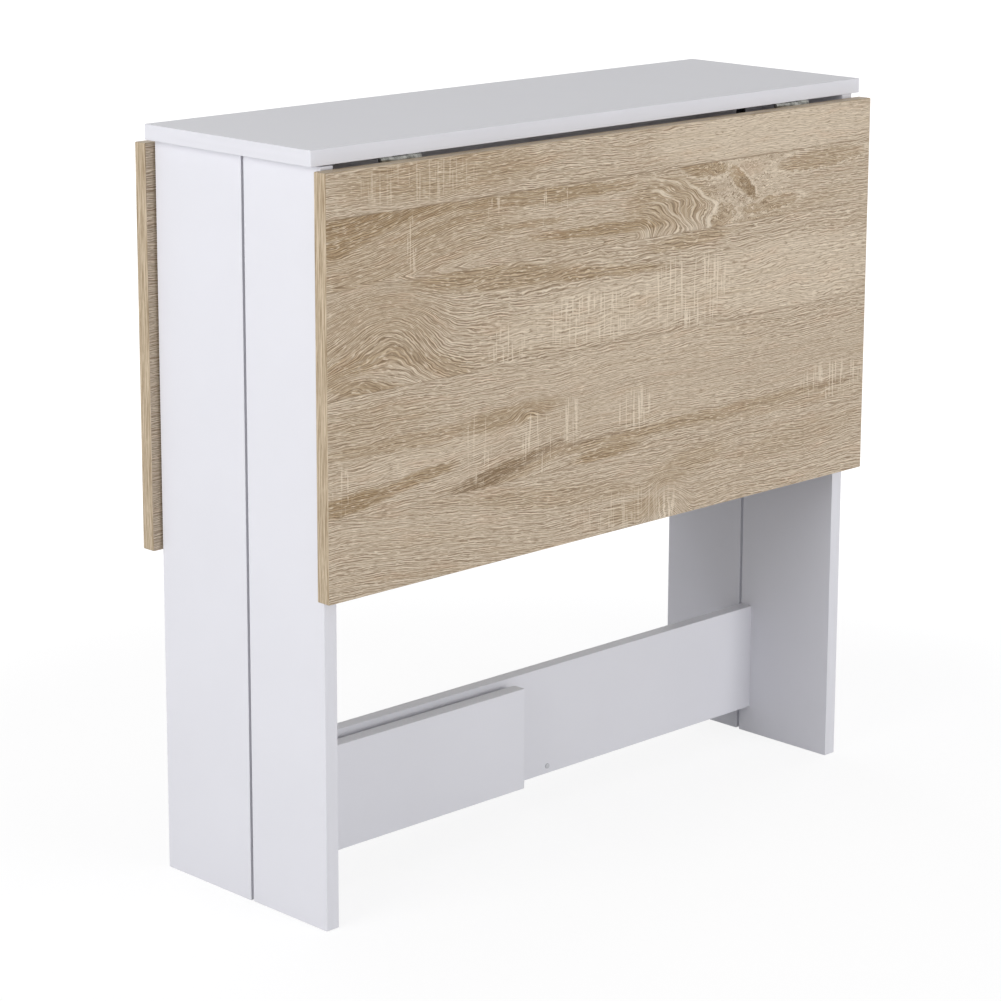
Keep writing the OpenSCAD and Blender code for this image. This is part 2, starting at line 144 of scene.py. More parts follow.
# One Principled material
class Finish(NodeTree):
    def __init__(self, name, **constants):
        self.material = bpy.data.materials.new(name)
        self.material.use_nodes = True
        super().__init__(self.material.node_tree)
        self.shader = self.tree.nodes["Principled BSDF"]
        for key, value in constants.items():
            self.shader.inputs[key].default_value = value

    def place(self):
        return self.add("ShaderNodeTexCoord", output="Object")

    def alongSurface(self):
        return self.add("ShaderNodeUVMap", {"uv_map": "grain"})

    def parts(self, vector):
        node = self.add("ShaderNodeSeparateXYZ", inputs={0: vector}).socket.node
        return [Field(self, output) for output in node.outputs]

    def joined(self, x, y, z):
        return self.add("ShaderNodeCombineXYZ", inputs={0: x, 1: y, 2: z})

    # Noise about 0 whose marks are one unit of the vector in size, divided by the scale
    def noise(self, vector, detail=1.0, roughness=0.5, scale=1.0):
        return self.add("ShaderNodeTexNoise", {"noise_dimensions": "3D"},
                        {"Vector": vector, "Scale": scale, "Detail": detail, "Roughness": roughness}) - 0.5

    # Noise in space, its marks this many millimetres in size
    def specks(self, size, detail):
        return self.noise(self.place(), detail, scale=1 / (size * millimetre))

    # Noise on a surface, its marks this long and wide; each seed gives other marks
    def marks(self, size, along, across, seed=0, detail=1.0, roughness=0.5):
        length, width = size
        return self.noise(self.joined(along / length, across / width, seed), detail, roughness)

    def blend(self, factor, first, second, mode="MIX"):
        return self.add("ShaderNodeMix", {"data_type": "RGBA", "blend_type": mode},
                        {0: factor, 6: first, 7: second}, output=2)

    # The first colour multiplied by the second
    def tint(self, factor, first, second):
        return self.blend(factor, first, second, mode="MULTIPLY")

    # The depth of the relief is in millimetres
    def finished(self, colour, roughness, height, depth, strength=0.5):
        self.feed(self.shader.inputs["Base Color"], colour)
        self.feed(self.shader.inputs["Roughness"], roughness)
        bump = self.add("ShaderNodeBump", inputs={"Strength": strength, "Distance": depth * millimetre,
                                                  "Height": height})
        self.feed(self.shader.inputs["Normal"], bump)
        return self.material


# A colour given on a screen's scale, 0 to 255, as Blender's linear values
def screenColour(red, green, blue):
    shares = np.array([red, green, blue]) / 255
    linear = np.where(shares <= 0.04045, shares / 12.92, ((shares + 0.055) / 1.055) ** 2.4)
    return (*map(float, linear), 1.0)


# The same colour made darker by a share
def shaded(colour, share):
    return (*(share * part for part in colour[:3]), 1.0)


# Where a noise turns from one colour to another, slowly or faster, and where it makes small marks
slowTurn = (-0.2, 0.2)
fastTurn = (-0.15, 0.15)
darkPoreTurn = (-0.08, -0.2)
palePoreTurn = (0.08, 0.2)

# In each finish, sizes and depths are in millimetres, and a gloss is how far a mark changes the roughness

# White melamine: a fine pearl relief and faint handling marks in the gloss
whiteBoard = {
    "colour": screenColour(228, 228, 234),
    "shade": 0.985,
    "roughness": 0.38,
    "cloud": 90,
    "cloudGloss": 0.08,
    "pearl": 0.45,
    "depth": 0.03,
}


def whiteBoardFinish():
    look = whiteBoard
    finish = Finish("whiteMelamine", IOR=1.45)
    pearl = finish.specks(look["pearl"], detail=1.0)
    cloud = finish.specks(look["cloud"], detail=3.0)
    colour = finish.blend(cloud.step(*slowTurn), shaded(look["colour"], look["shade"]), look["colour"])
    return finish.finished(colour, look["roughness"] + cloud * look["cloudGloss"], pearl, look["depth"])


# White plastic edging: smoother than the board, with faint lines and waves along its length
whiteBand = {
    "colour": screenColour(225, 225, 231),
    "shade": 0.97,
    "roughness": 0.33,
    "lines": (60, 0.7),
    "lineGloss": 0.2,
    "waves": (120, 9),
    "depth": 0.03,
}


def whiteBandFinish():
    look = whiteBand
    finish = Finish("whiteEdging", IOR=1.48)
    along, across = finish.parts(finish.alongSurface())[:2]
    line = finish.marks(look["lines"], along, across, detail=2.0)
    wave = finish.marks(look["waves"], along, across, seed=4)
    colour = finish.blend(wave.step(*slowTurn), shaded(look["colour"], look["shade"]), look["colour"])
    return finish.finished(colour, look["roughness"] + line * look["lineGloss"], line + wave, look["depth"])


# Oak edging: straight grain along the strip
oakBand = {
    "light": screenColour(208, 191, 166),
    "dark": screenColour(146, 125, 96),
    "roughness": 0.42,
    "sway": (90, 30),
    "swayWidth": 4,
    "grain": (50, 1.1),
    "grainGloss": 0.2,
    "pores": (10, 0.5),
    "darkPores": 0.6,
    "palePores": 0.5,
    "poreRelief": 0.5,
    "depth": 0.05,
}


def oakBandFinish():
    look = oakBand
    finish = Finish("oakEdging", IOR=1.47)
    along, across = finish.parts(finish.alongSurface())[:2]
    across = across + finish.marks(look["sway"], along, across) * look["swayWidth"]
    grain = finish.marks(look["grain"], along, across, seed=3, detail=3.0)
    pore = finish.marks(look["pores"], along, across, seed=5)
    colour = finish.blend(grain.step(*fastTurn), look["dark"], look["light"])
    colour = finish.blend(pore.step(*darkPoreTurn) * look["darkPores"], colour, look["dark"])
    colour = finish.blend(pore.step(*palePoreTurn) * look["palePores"], colour, look["light"])
    roughness = look["roughness"] + grain * look["grainGloss"]
    return finish.finished(colour, roughness, grain + pore * look["poreRelief"], look["depth"])


# Metals: fine grain and broad clouds. Nickel plated hinges, their paler through bolts and cast zinc cam locks,
# whose dark grey is partly painted shade
nickel = {
    "colour": screenColour(168, 168, 163),
    "shade": 0.5,
    "metallic": 1.0,
    "roughness": 0.28,
    "grain": 0.6,
    "grainDetail": 2.0,
    "grainGloss": 0.2,
    "cloud": 7,
    "cloudGloss": 0.12,
    "depth": 0.02,
    "strength": 0.4,
}
paleSteel = {**nickel, "colour": screenColour(195, 196, 200), "shade": 0.9, "roughness": 0.5}
# The cam locks' dark grey is partly the zinc's own colour and partly painted shade, darker than plain grey zinc
zincPaintedShade = {**nickel, "colour": screenColour(92, 92, 95), "shade": 0.75, "metallic": 0.9, "roughness": 0.45,
        "grain": 0.5, "grainDetail": 3.0, "cloud": 6, "cloudGloss": 0, "depth": 0.05, "strength": 0.6}


def metalFinish(name, look):
    finish = Finish(name, Metallic=look["metallic"])
    grain = finish.specks(look["grain"], look["grainDetail"])
    cloud = finish.specks(look["cloud"], detail=2.0)
    colour = finish.blend(cloud.step(*fastTurn), shaded(look["colour"], look["shade"]), look["colour"])
    roughness = look["roughness"] + grain * look["grainGloss"] + cloud * look["cloudGloss"]
    return finish.finished(colour, roughness, grain, look["depth"], look["strength"])


# Beech dowels, their grain along X
beech = {
    "light": screenColour(214, 184, 143),
    "dark": screenColour(180, 146, 104),
    "roughness": 0.6,
    "grain": (12, 0.8),
    "grainGloss": 0.2,
    "depth": 0.1,
}


def beechFinish():
    look = beech
    finish = Finish("beechDowel")
    x, y, z = (part / millimetre for part in finish.parts(finish.place()))
    grain = finish.marks(look["grain"], x, y, seed=z / look["grain"][1], detail=3.0)
    colour = finish.blend(grain.step(*slowTurn), look["dark"], look["light"])
    return finish.finished(colour, look["roughness"] + grain * look["grainGloss"], grain, look["depth"])


# Light oak decor. Everything about the sheet is in millimetres from its upper left corner
oakSheet = {
    "light": screenColour(226, 212, 191),
    "middle": screenColour(186, 168, 146),
    "dark": screenColour(134, 113, 88),
    "brownTint": (0.86, 0.78, 0.62, 1),
    "darkTint": (0.82, 0.78, 0.72, 1),
    "redTint": (1.0, 0.91, 0.86, 1),
    "seams": (42.5, 108, 206, 320),          # the joints between the planks
    "seamShades": (0.75, 0.35, 0.45, 0.3),
    "seamWidth": (1.0, 0.4),
    "innerShift": 190,                       # how far the sheet is moved along on the inner faces
    "roughness": 0.5,
    "fibreGloss": 0.3,
    "poreRelief": 0.5,
    "depth": 0.08,
    "strength": 0.6,
}
# The wood's tone without marks, how far each kind of mark shifts it, how far pale and brown areas calm the
# grain, and the tones over which the colours change
oakTone = {
    "plain": 0.47,
    "fibre": 2.85, "streak": 0.4, "band": 0.2,
    "pale": 0.36, "brown": 0.34, "dark": 0.36,
    "paleCalm": 0.55, "brownCalm": 0.25,
    "darkToMiddle": (-0.2, 0.5), "middleToLight": (0.4, 1.25),
}
# Noise on the sheet: a mark's length and height, detail, seed, and how far the seed moves on at each plank
oakNoises = {
    "slow": (170, 90, 1, 0, 7.3),
    "wave": (34, 14, 1, 0, 3.7),
    "ripple": (8, 7, 1, 11, 0),
    "jag": (9, 6, 4, 21, 0),
    "sway": (45, 18, 0, 25, 0),
    "fibre": (29, 0.85, 2, 0, 5.1),
    "streak": (60, 1.8, 2, 2, 3.3),
    "band": (240, 8, 2, 5, 2.7),
    "tinge": (60, 12, 2, 31, 0),
    "thread": (70, 2.6, 1, 45, 1),
    "line": (90, 3.4, 1, 41, 1),
    "pore": (9, 0.8, 1, 51, 0),
    "saw": (2.6, 60, 1, 61, 0),
    "sawBreak": (3, 1.8, 2, 71, 0),
    "hookStreak": (4.2, 60, 1, 81, 0),
    "knotStreak": (3.6, 40, 2, 91, 0),
    "joint": (60, 1, 2, 101, 0),
}
# Where each kind of mark starts and where it is full, and how strongly it then shows
oakMarks = {
    "brownBand": (0, -0.2, 0.15),
    "redTinge": (0, 0.25, 0.5),
    "thread": (0.03, 0.005, 0.22),
    "line": (0.03, 0.005, 0.26),
    "hookStreak": (0.04, 0.12, 0.75),
    "hookRim": (3.0, 0.8, 0.75),
    "raggedRim": (-0.08, 0.06, 0.6),
    "knotStreak": (0, 0.1, 1),
    "darkPore": (*darkPoreTurn, 0.7),
    "palePore": (*palePoreTurn, 0.8),
    "saw": (0.05, 0.13, 0.8),
    "sawBreak": (-0.2, 0, 1),
    "joint": (-0.1, 0.02, 1),
}
# How far noise moves the grain, the borders of bands, the rougher borders of shapes and the knot's streaks
grainMoves = {"slow": 16, "wave": 5, "ripple": 0.8}
bandMoves = {"jagAcross": 24, "wave": 5, "ripple": 3, "jagDown": 3}
shapeMoves = {"jagAcross": 34, "jagDown": 16}
knotMove = 8
# How soft a patch's border is, as a share of its half size, and where a ragged rim lies across the border
softBorder = {"brown": 0.5, "shape": 0.3, "dark": 0.3, "pale": 0.4, "saw": 0.4}
raggedRim = {"outer": (-0.22, -0.08), "inner": (0.1, 0)}
# Soft patches on the sheet: middle, half width, half height, tilt in degrees, strength
brownPatches = [
    (40, 50, 170, 14, -2, 1.0),
    (20, 68, 80, 12, -14, 0.9),
    (270, 50, 180, 9, 1, 0.75),
    (140, 64, 90, 7, -7, 0.7),
    (360, 92, 130, 7, 2, 0.8),
    (250, 75, 70, 5, 0, 0.6),
    (450, 75, 80, 34, 0, 0.5),
    (210, 120, 150, 15, 4, 0.6),
    (330, 131, 150, 8, 4, 0.6),
    (480, 117, 80, 9, -2, 0.5),
    (60, 150, 110, 48, 0, 0.3),
    (230, 256, 90, 13, -3, 0.6),
    (100, 258, 150, 9, 0, 0.45),
    (60, 235, 90, 24, 0, 0.25),
    (25, 306, 75, 12, -5, 1.0),
    (115, 295, 60, 8, -6, 0.8),
    (500, 300, 280, 8, -1, 0.5),
    (580, 307, 200, 8, 1, 0.2),
    (365, 313, 62, 9, -3, 0.75),
    (240, 308, 90, 14, -8, 0.5),
    (480, 345, 80, 18, -8, 0.4),
    (410, 380, 60, 14, 0, 0.4),
    (60, 100, 90, 9, -8, 0.4),
    (120, 186, 100, 12, 20, 0.45),
    (25, 178, 60, 14, -8, 0.6),
    (40, 200, 80, 10, 10, 0.6),
    (150, 16, 170, 26, 0, 0.45),
    (650, 345, 140, 16, -4, 0.2),
    (640, 100, 130, 10, -6, 0.2),
    (100, 76, 190, 36, -6, 0.35),
    (300, 345, 160, 14, 6, 0.25),
]
darkPatches = [
    (205, 311, 66, 9, -9, 0.85),
    (262, 300, 50, 6, -14, 0.85),
    (340, 297, 60, 2.5, -2, 0.7),
    (104, 178, 34, 7, 26, 0.25),
    (700, 296, 60, 3, 0, 0.4),
    (565, 73, 20, 7, 42, 0.6),
]
palePatches = [
    (600, 20, 220, 30, 0, 0.8),
    (640, 168, 190, 46, 0, 0.7),
    (370, 172, 190, 36, 0, 0.6),
    (580, 62, 60, 26, 20, 0.4),
    (420, 226, 220, 26, 0, 0.25),
    (420, 272, 170, 24, 0, 0.2),
    (130, 278, 150, 12, -4, 0.4),
    (120, 345, 140, 18, 5, 0.2),
]
# Brown shapes with a ragged pale rim
rimmedPatches = [
    (500, 47, 40, 11, 8, 0.7),
    (556, 66, 34, 9, 40, 0.75),
    (600, 94, 50, 8, -4, 0.5),
    (680, 55, 76, 11, -2, 0.45),
    (528, 100, 22, 14, -30, 0.4),
]
# Where the saw left upright marks, in the same way
sawPatches = [
    (340, 176, 85, 30, 0, 1.0),
    (480, 168, 75, 46, 0, 1.0),
    (225, 186, 30, 22, 0, 0.8),
    (265, 288, 26, 38, 0, 1.0),
    (312, 274, 16, 30, 0, 0.9),
    (402, 276, 32, 26, 0, 1.0),
    (190, 282, 22, 40, 0, 0.7),
    (705, 292, 62, 24, 0, 0.9),
    (110, 18, 90, 26, 0, 0.5),
    (103, 75, 8, 42, 0, 0.9),
    (276, 62, 8, 22, 0, 1.0),
    (210, 55, 12, 16, 0, 0.7),
    (300, 52, 10, 16, 0, 0.8),
    (18, 296, 12, 32, 0, 0.8),
    (390, 375, 80, 24, 0, 0.5),
]
# Nested hooks of grain in the second plank: their centre, flattening and outermost radius, how far they
# sway and are rough, and where across the sheet each thing about them starts and ends
grainHooks = {
    "centreX": 400,
    "centreY": 104,
    "flatness": 1.9,
    "outermost": 60,
    "sway": 26,
    "jag": 2.5,
    "swayFrom": (405, 470),
    "streaksFrom": (408, 440),
    "rimFrom": (455, 490),
    "rimTo": (545, 530),
    "ragged": 14,
    "raggedFrom": (480, 520),
    "raggedTo": (650, 570),
}
# Hills in the grain: middle, half width, half height and how far the grain is pushed up
grainHills = {
    "dome": (70, 150, 95, 62, 27),
    "lowDome": (25, 196, 60, 22, 9),
    "eye": (255, 252, 34, 18, 11),
    "knot": (452, 396, 42, 62, 34),
}
knotStreaks = (450, 388, 30, 34, 1)
# Slopes in the grain: where across the sheet each starts and is full, and its height
grainSlopes = {
    "droop": (190, 0, 30),
    "fall": (75, 185, 0.27),                 # its height is this share of the depth in the plank
    "climb": (120, 310, 20),
    "sink": (0, 330, -32),
}
climbDepth = (225, 290)


# A smooth rise from 0 at the start to this height where it is full
def risen(field, start, full, height):
    return field.step(start, full) * height


# A round-topped hill, this high at its middle and 0 past its two half sizes
def hill(across, down, middleX, middleY, halfWide, halfHigh, height):
    wide = (across - middleX) / halfWide
    high = (down - middleY) / halfHigh
    return (wide * wide + high * high).maths("SQRT").step(1, 0) * height


# Noise of one kind on the sheet
def oakNoise(finish, kind, across, down, plank, roughness=0.5):
    length, height, detail, seed, plankStep = oakNoises[kind]
    if plankStep:
        seed = plank * plankStep + seed
    return finish.marks((length, height), across, down, seed, detail, roughness)


# For each of several tilted ellipses: how far a point lies inside it, 1 at its middle and 0 on its rim,
# its strength, and a field that is 1 on the plank where its middle lies
def patchDepths(finish, point, patches, planks):
    for middleX, middleY, halfWide, halfHigh, tilt, strength in patches:
        local = finish.add("ShaderNodeMapping", {"vector_type": "TEXTURE"}, {
            "Vector": point, "Location": (middleX, middleY, 0),
            "Rotation": (0, 0, math.radians(tilt)), "Scale": (halfWide, halfHigh, 1)})
        distance = finish.add("ShaderNodeVectorMath", {"operation": "LENGTH"}, {0: local}, output="Value")
        yield 1 - distance, strength, planks[sum(middleY > seam for seam in oakSheet["seams"])]


def strongest(fields):
    return reduce(lambda first, second: first.maths("MAXIMUM", second), fields)


# The strongest of several patches at a point on the sheet, their borders this soft
def patchField(finish, point, patches, planks, border):
    return strongest(depth.step(0, border) * strength * ownPlank
                     for depth, strength, ownPlank in patchDepths(finish, point, patches, planks))


# The rims of several patches
def rimField(finish, point, patches, planks):
    return strongest(depth.step(*raggedRim["outer"]) * depth.step(*raggedRim["inner"]) * ownPlank
                     for depth, strength, ownPlank in patchDepths(finish, point, patches, planks))


# A point's place on the sheet, across and down. Each of the four faces of the leaves shows another cut:
# the rear leaf and the inner faces are turned
def sheetPlace(finish):
    low, high = (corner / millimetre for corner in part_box("front_leaf_edging"))
    width, drop, middle = high.x - low.x, high.z - low.z, -(low.y + high.y) / 2
    x, y, z = (part / millimetre for part in finish.parts(finish.place()))
    rear = y > 0
    inner = y.maths("ABSOLUTE") < middle
    across = x * (1 - rear * 2) - low.x
    across = across + inner * ((width - oakSheet["innerShift"]) - across * 2)
    down = high.z - z
    down = down + (rear - inner).maths("ABSOLUTE") * (drop - down * 2)
    return across, down


# The hooks' radius: the distance from their centre, flattened on its right, which sways and gets rough there
def hookDistance(finish, across, down, plank, jag):
    wide = (across - grainHooks["centreX"]).maths("MAXIMUM", 0) / grainHooks["flatness"]
    high = grainHooks["centreY"] - down
    sway = oakNoise(finish, "sway", across, down, plank) * grainHooks["sway"] + jag * grainHooks["jag"]
    return (wide * wide + high * high).maths("SQRT") + sway * across.step(*grainHooks["swayFrom"])


# How much the grain is pushed up at a point, plank by plank, away from straight lines.
# Lines of equal height plus push are the grain's own lines
def grainPush(across, down, planks, hooked, hookRadius):
    # Second plank: the grain droops at the left and dives in nested hooks past the middle
    second = (grainHooks["centreY"] - hookRadius - down) * hooked - risen(across, *grainSlopes["droop"])
    # Third plank: a dome near the left end, whose right side falls away
    third = hill(across, down, *grainHills["dome"]) + hill(across, down, *grainHills["lowDome"])
    third = third - risen(across, *grainSlopes["fall"]) * (down - oakSheet["seams"][1])
    # Fourth plank: the lower grain climbs to the right, past a small eye
    fourth = risen(across, *grainSlopes["climb"]) * down.step(*climbDepth)
    fourth = fourth + hill(across, down, *grainHills["eye"])
    # Fifth plank: the grain sinks to the right, then arches over a knot on the lower edge
    fifth = risen(across, *grainSlopes["sink"]) + hill(across, down, *grainHills["knot"])
    return second * planks[1] + third * planks[2] + fourth * planks[3] + fifth * planks[4]


def oakFinish():
    look, tones, hooks = oakSheet, oakTone, grainHooks
    finish = Finish("oakDecor", IOR=1.45)
    across, down = sheetPlace(finish)
    plank = sum(down > seam for seam in look["seams"])
    planks = [plank.maths("COMPARE", number, 0.5) for number in range(len(look["seams"]) + 1)]

    jag = oakNoise(finish, "jag", across, down, plank, roughness=0.6)
    slow, wave, ripple = (oakNoise(finish, kind, across, down, plank) for kind in ("slow", "wave", "ripple"))
    hookRadius = hookDistance(finish, across, down, plank, jag)
    hooked = hookRadius < hooks["outermost"]
    flow = down + grainPush(across, down, planks, hooked, hookRadius)
    flow = flow + slow * grainMoves["slow"] + wave * grainMoves["wave"] + ripple * grainMoves["ripple"]
    # Ragged grain between the hooks and the plain grain on their right
    ragged = across.step(*hooks["raggedFrom"]) * across.step(*hooks["raggedTo"])
    flow = flow + jag * hooks["ragged"] * planks[1] * ragged

    fibre, streak, band = (oakNoise(finish, kind, across, flow, plank)
                           for kind in ("fibre", "streak", "band"))
    # The noise one line further on is taken away, which leaves fine lines and no broad ones
    fibre = fibre - oakNoise(finish, "fibre", across, flow + oakNoises["fibre"][1], plank)
    # Bands keep to the grain, shapes and saw marks have rough borders
    alongGrain = finish.joined(
        across + jag * bandMoves["jagAcross"],
        down + wave * bandMoves["wave"] + ripple * bandMoves["ripple"] + jag * bandMoves["jagDown"], 0)
    rough = finish.joined(across + jag * shapeMoves["jagAcross"], down + jag * shapeMoves["jagDown"], 0)
    bands = patchField(finish, alongGrain, brownPatches, planks, softBorder["brown"])
    shapes = patchField(finish, rough, rimmedPatches, planks, softBorder["shape"])
    brown = strongest([bands, shapes])
    dark = patchField(finish, alongGrain, darkPatches, planks, softBorder["dark"])
    pale = patchField(finish, alongGrain, palePatches, planks, softBorder["pale"])

    grain = fibre * tones["fibre"] + streak * tones["streak"] + band * tones["band"]
    grain = grain * (1 - pale * tones["paleCalm"] - brown * tones["brownCalm"])
    tone = tones["plain"] + grain + pale * tones["pale"] - brown * tones["brown"] - dark * tones["dark"]
    colour = finish.blend(tone.step(*tones["darkToMiddle"]), look["dark"], look["middle"])
    colour = finish.blend(tone.step(*tones["middleToLight"]), colour, look["light"])
    # Brown bands, dark areas, and a reddish tinge in slow blotches
    tinge = oakNoise(finish, "tinge", across, flow, plank)
    colour = finish.tint(brown + risen(band, *oakMarks["brownBand"]), colour, look["brownTint"])
    colour = finish.tint(dark, colour, look["darkTint"])
    colour = finish.tint(risen(tinge, *oakMarks["redTinge"]), colour, look["redTint"])
    # Thin dark and pale lines along the grain
    thread = oakNoise(finish, "thread", across, flow, plank).maths("ABSOLUTE")
    colour = finish.blend(risen(thread, *oakMarks["thread"]), colour, look["dark"])
    line = oakNoise(finish, "line", across, flow, plank).maths("ABSOLUTE")
    colour = finish.blend(risen(line, *oakMarks["line"]), colour, look["light"])
    # The hooks' pale streaks, the shapes' ragged rims, the outermost hook's rim and the knot's streaks
    streaks = risen(oakNoise(finish, "hookStreak", hookRadius, across, plank), *oakMarks["hookStreak"])
    streaks = streaks * hooked * planks[1] * across.step(*hooks["streaksFrom"])
    rims = rimField(finish, rough, rimmedPatches, planks) * risen(jag, *oakMarks["raggedRim"])
    hookRim = risen((hookRadius - hooks["outermost"]).maths("ABSOLUTE"), *oakMarks["hookRim"])
    hookRim = hookRim * planks[1] * across.step(*hooks["rimFrom"]) * across.step(*hooks["rimTo"])
    knot = oakNoise(finish, "knotStreak", across + jag * knotMove, down, plank)
    knot = risen(knot, *oakMarks["knotStreak"]) * hill(across, down, *knotStreaks)
    for mark in (streaks, rims, hookRim, knot):
        colour = finish.blend(mark, colour, look["light"])
    # Short pale and dark pores
    pore = oakNoise(finish, "pore", across, flow, plank)
    colour = finish.blend(risen(pore, *oakMarks["palePore"]), colour, look["light"])
    colour = finish.blend(risen(pore, *oakMarks["darkPore"]), colour, look["dark"])
    # Upright saw marks in clusters
    saw = risen(oakNoise(finish, "saw", across, down, plank), *oakMarks["saw"])
    saw = saw * risen(oakNoise(finish, "sawBreak", across, flow, plank), *oakMarks["sawBreak"])
    saw = saw * patchField(finish, rough, sawPatches, planks, softBorder["saw"])
    colour = finish.blend(saw, colour, look["light"])
    # The planks' joints, dark in places
    joint = risen(oakNoise(finish, "joint", across, plank, plank), *oakMarks["joint"])
    for seam, shade in zip(look["seams"], look["seamShades"]):
        gap = (down - seam).maths("ABSOLUTE").step(*look["seamWidth"])
        colour = finish.blend(gap * joint * shade, colour, look["dark"])
    roughness = look["roughness"] + fibre * look["fibreGloss"]
    relief = fibre + pore * look["poreRelief"]
    return finish.finished(colour, roughness, relief, look["depth"], look["strength"])


finishes = {
    "white_board": whiteBoardFinish(),
    "white_edging": whiteBandFinish(),
    "oak_board": oakFinish(),
    "oak_edging": oakBandFinish(),
    "steel": metalFinish("nickelSteel", nickel),
    "cam_lock": metalFinish("castZinc", zincPaintedShade),
    "dowel": beechFinish(),
}
# Nodes that look different from the rest of their material slot
throughBolts = metalFinish("paleSteel", paleSteel)
ownFinishes = {"front_gate_hinge_bolts": throughBolts, "rear_gate_hinge_bolts": throughBolts}
print("finishes made")


# Edging pieces

edging = {
    "thickness": 0.8 * millimetre,
    "arris": 0.5 * millimetre,
    "corner": 1.2 * millimetre,
    "ease": 0.12 * millimetre,   # how far past a rounding its shading ends
    "arcSteps": 6,
    "sharpAngle": 50,
}


# Rounded rectangle: each corner is a quarter circle, with one more point just past each of its ends.
# Gives the points and the way outwards at each, corner by corner, as arrays of 4 x points x 2
def roundedCorners(halfWide, halfHigh, radius):
    steps = edging["arcSteps"]
    start = np.arange(4)[:, None] * np.pi / 2
    angle = start + np.linspace(0, np.pi / 2, steps + 1)[None, :]
    out = np.stack([np.cos(angle), np.sin(angle)], axis=2)
    side = np.array([[1, 1], [-1, 1], [-1, -1], [1, -1]])
    centre = side * (np.array([halfWide, halfHigh]) - radius)
    arc = centre[:, None, :] + radius * out
    tangent = np.stack([-np.sin(angle), np.cos(angle)], axis=2)
    before = arc[:, :1] - edging["ease"] * tangent[:, :1]
    after = arc[:, -1:] + edging["ease"] * tangent[:, -1:]
    points = np.concatenate([before, arc, after], axis=1)
    outs = np.concatenate([out[:, :1], out, out[:, -1:]], axis=1)
    return points, outs


# Section of the edging: flat inside, its two outer edges rounded. Columns are outwards and across the board
def bandSection(halfDeep):
    arris, ease = edging["arris"], edging["ease"]
    angle = np.linspace(np.pi / 2, 0, edging["arcSteps"] + 1)
    upper = np.stack([arris * (np.cos(angle) - 1), halfDeep - arris * (1 - np.sin(angle))], axis=1)
    ends = np.array([[-edging["thickness"], halfDeep], [-arris - ease, halfDeep]])
    face = np.array([[0, halfDeep - arris - ease]])
    half = np.concatenate([ends, upper, face])
    return np.concatenate([half, half[::-1] * [1, -1]])


# The section carried along a path: point + outwards x section's first column + normal x its second
def carried(points, outs, normal, section, closed):
    grid = points[:, None, :] + section[None, :, :1] * outs[:, None, :] + section[None, :, 1:] * normal
    rows, columns = grid.shape[:2]
    steps = np.linalg.norm(np.roll(points, -1, axis=0) - points, axis=1)
    along = np.concatenate([[0], np.cumsum(steps)]) / millimetre
    widths = np.linalg.norm(np.roll(section, -1, axis=0) - section, axis=1)
    across = np.concatenate([[0], np.cumsum(widths)]) / millimetre
    i, j = np.meshgrid(np.arange(rows if closed else rows - 1), np.arange(columns), indexing="ij")
    corners = [(i, j), (i + 1, j), (i + 1, j + 1), (i, j + 1)]
    quads = np.stack([(a % rows) * columns + b % columns for a, b in corners], axis=2).reshape(-1, 4)
    places = np.stack([np.stack([along[a], across[b]], axis=2) for a, b in corners], axis=2)
    faces = quads.tolist()
    places = places.reshape(-1, 2)
    if not closed:
        last = (rows - 1) * columns
        faces += [list(range(columns))[::-1], list(range(last, last + columns))]
        places = np.concatenate([places, section[::-1] / millimetre, section / millimetre])
    return grid.reshape(-1, 3), faces, places


# top_edging gives topEdging
def pieceName(node):
    words = node.split("_")
    return words[0] + "".join(word.capitalize() for word in words[1:])


# A new piece that rides with a CAD node's body, replaces the node and has its finish
def standIn(node, mesh):
    mesh.polygons.foreach_set("use_smooth", [True] * len(mesh.polygons))
    mesh.materials.append(ownFinishes.get(node, finishes[slots[node]]))
    piece = bpy.data.objects.new(mesh.name, mesh)
    scene.collection.objects.link(piece)
    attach(piece, nodes[node]["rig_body"])
    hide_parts(node)
    return piece


# One mesh from several carried runs, turned to face outwards
def bandPiece(node, runs):
    points = np.concatenate([run[0] for run in runs])
    starts = np.cumsum([0] + [len(run[0]) for run in runs])
    faces = [[start + corner for corner in face] for start, run in zip(starts, runs) for face in run[1]]
    places = np.concatenate([run[2] for run in runs])
    mesh = bpy.data.meshes.new(pieceName(node))
    mesh.from_pydata(points.tolist(), [], faces)
    layer = mesh.uv_layers.new(name="grain")
    layer.data.foreach_set("uv", places.astype(np.float32).ravel())
    work = bmesh.new()
    work.from_mesh(mesh)
    if work.calc_volume(signed=True) < 0:
        bmesh.ops.reverse_faces(work, faces=work.faces[:])
    work.to_mesh(mesh)
    work.free()
    standIn(node, mesh)
    mesh.set_sharp_from_angle(angle=math.radians(edging["sharpAngle"]))


# The edging all round a board, whose thin side lies along the axis 0, 1 or 2
def ringPiece(node, axis):
    low, high = (np.array(corner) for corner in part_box(node))
    middle, half = (low + high) / 2, (high - low) / 2
    wide, tall = [k for k in range(3) if k != axis]
    points, outs = roundedCorners(half[wide], half[tall], edging["corner"])
    path = np.tile(middle, (points.size // 2, 1))
    path[:, [wide, tall]] += points.reshape(-1, 2)
    away = np.zeros_like(path)
    away[:, [wide, tall]] = outs.reshape(-1, 2)
    bandPiece(node, [carried(path, away, np.eye(3)[axis], bandSection(half[axis]), True)])


# Straight strips on a stretcher's upper and lower edges
def stripPiece(node):
    low, high = (np.array(corner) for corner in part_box(node))
    middle, half = (low + high) / 2, (high - low) / 2
    runs = []
    for side in (-1, 1):
        height = middle[2] + side * half[2]
        path = np.array([[low[0], middle[1], height], [high[0], middle[1], height]])
        away = np.tile([0, 0, side], (2, 1))
        runs.append(carried(path, away, np.array([0, 1, 0]), bandSection(half[1]), False))
    bandPiece(node, runs)


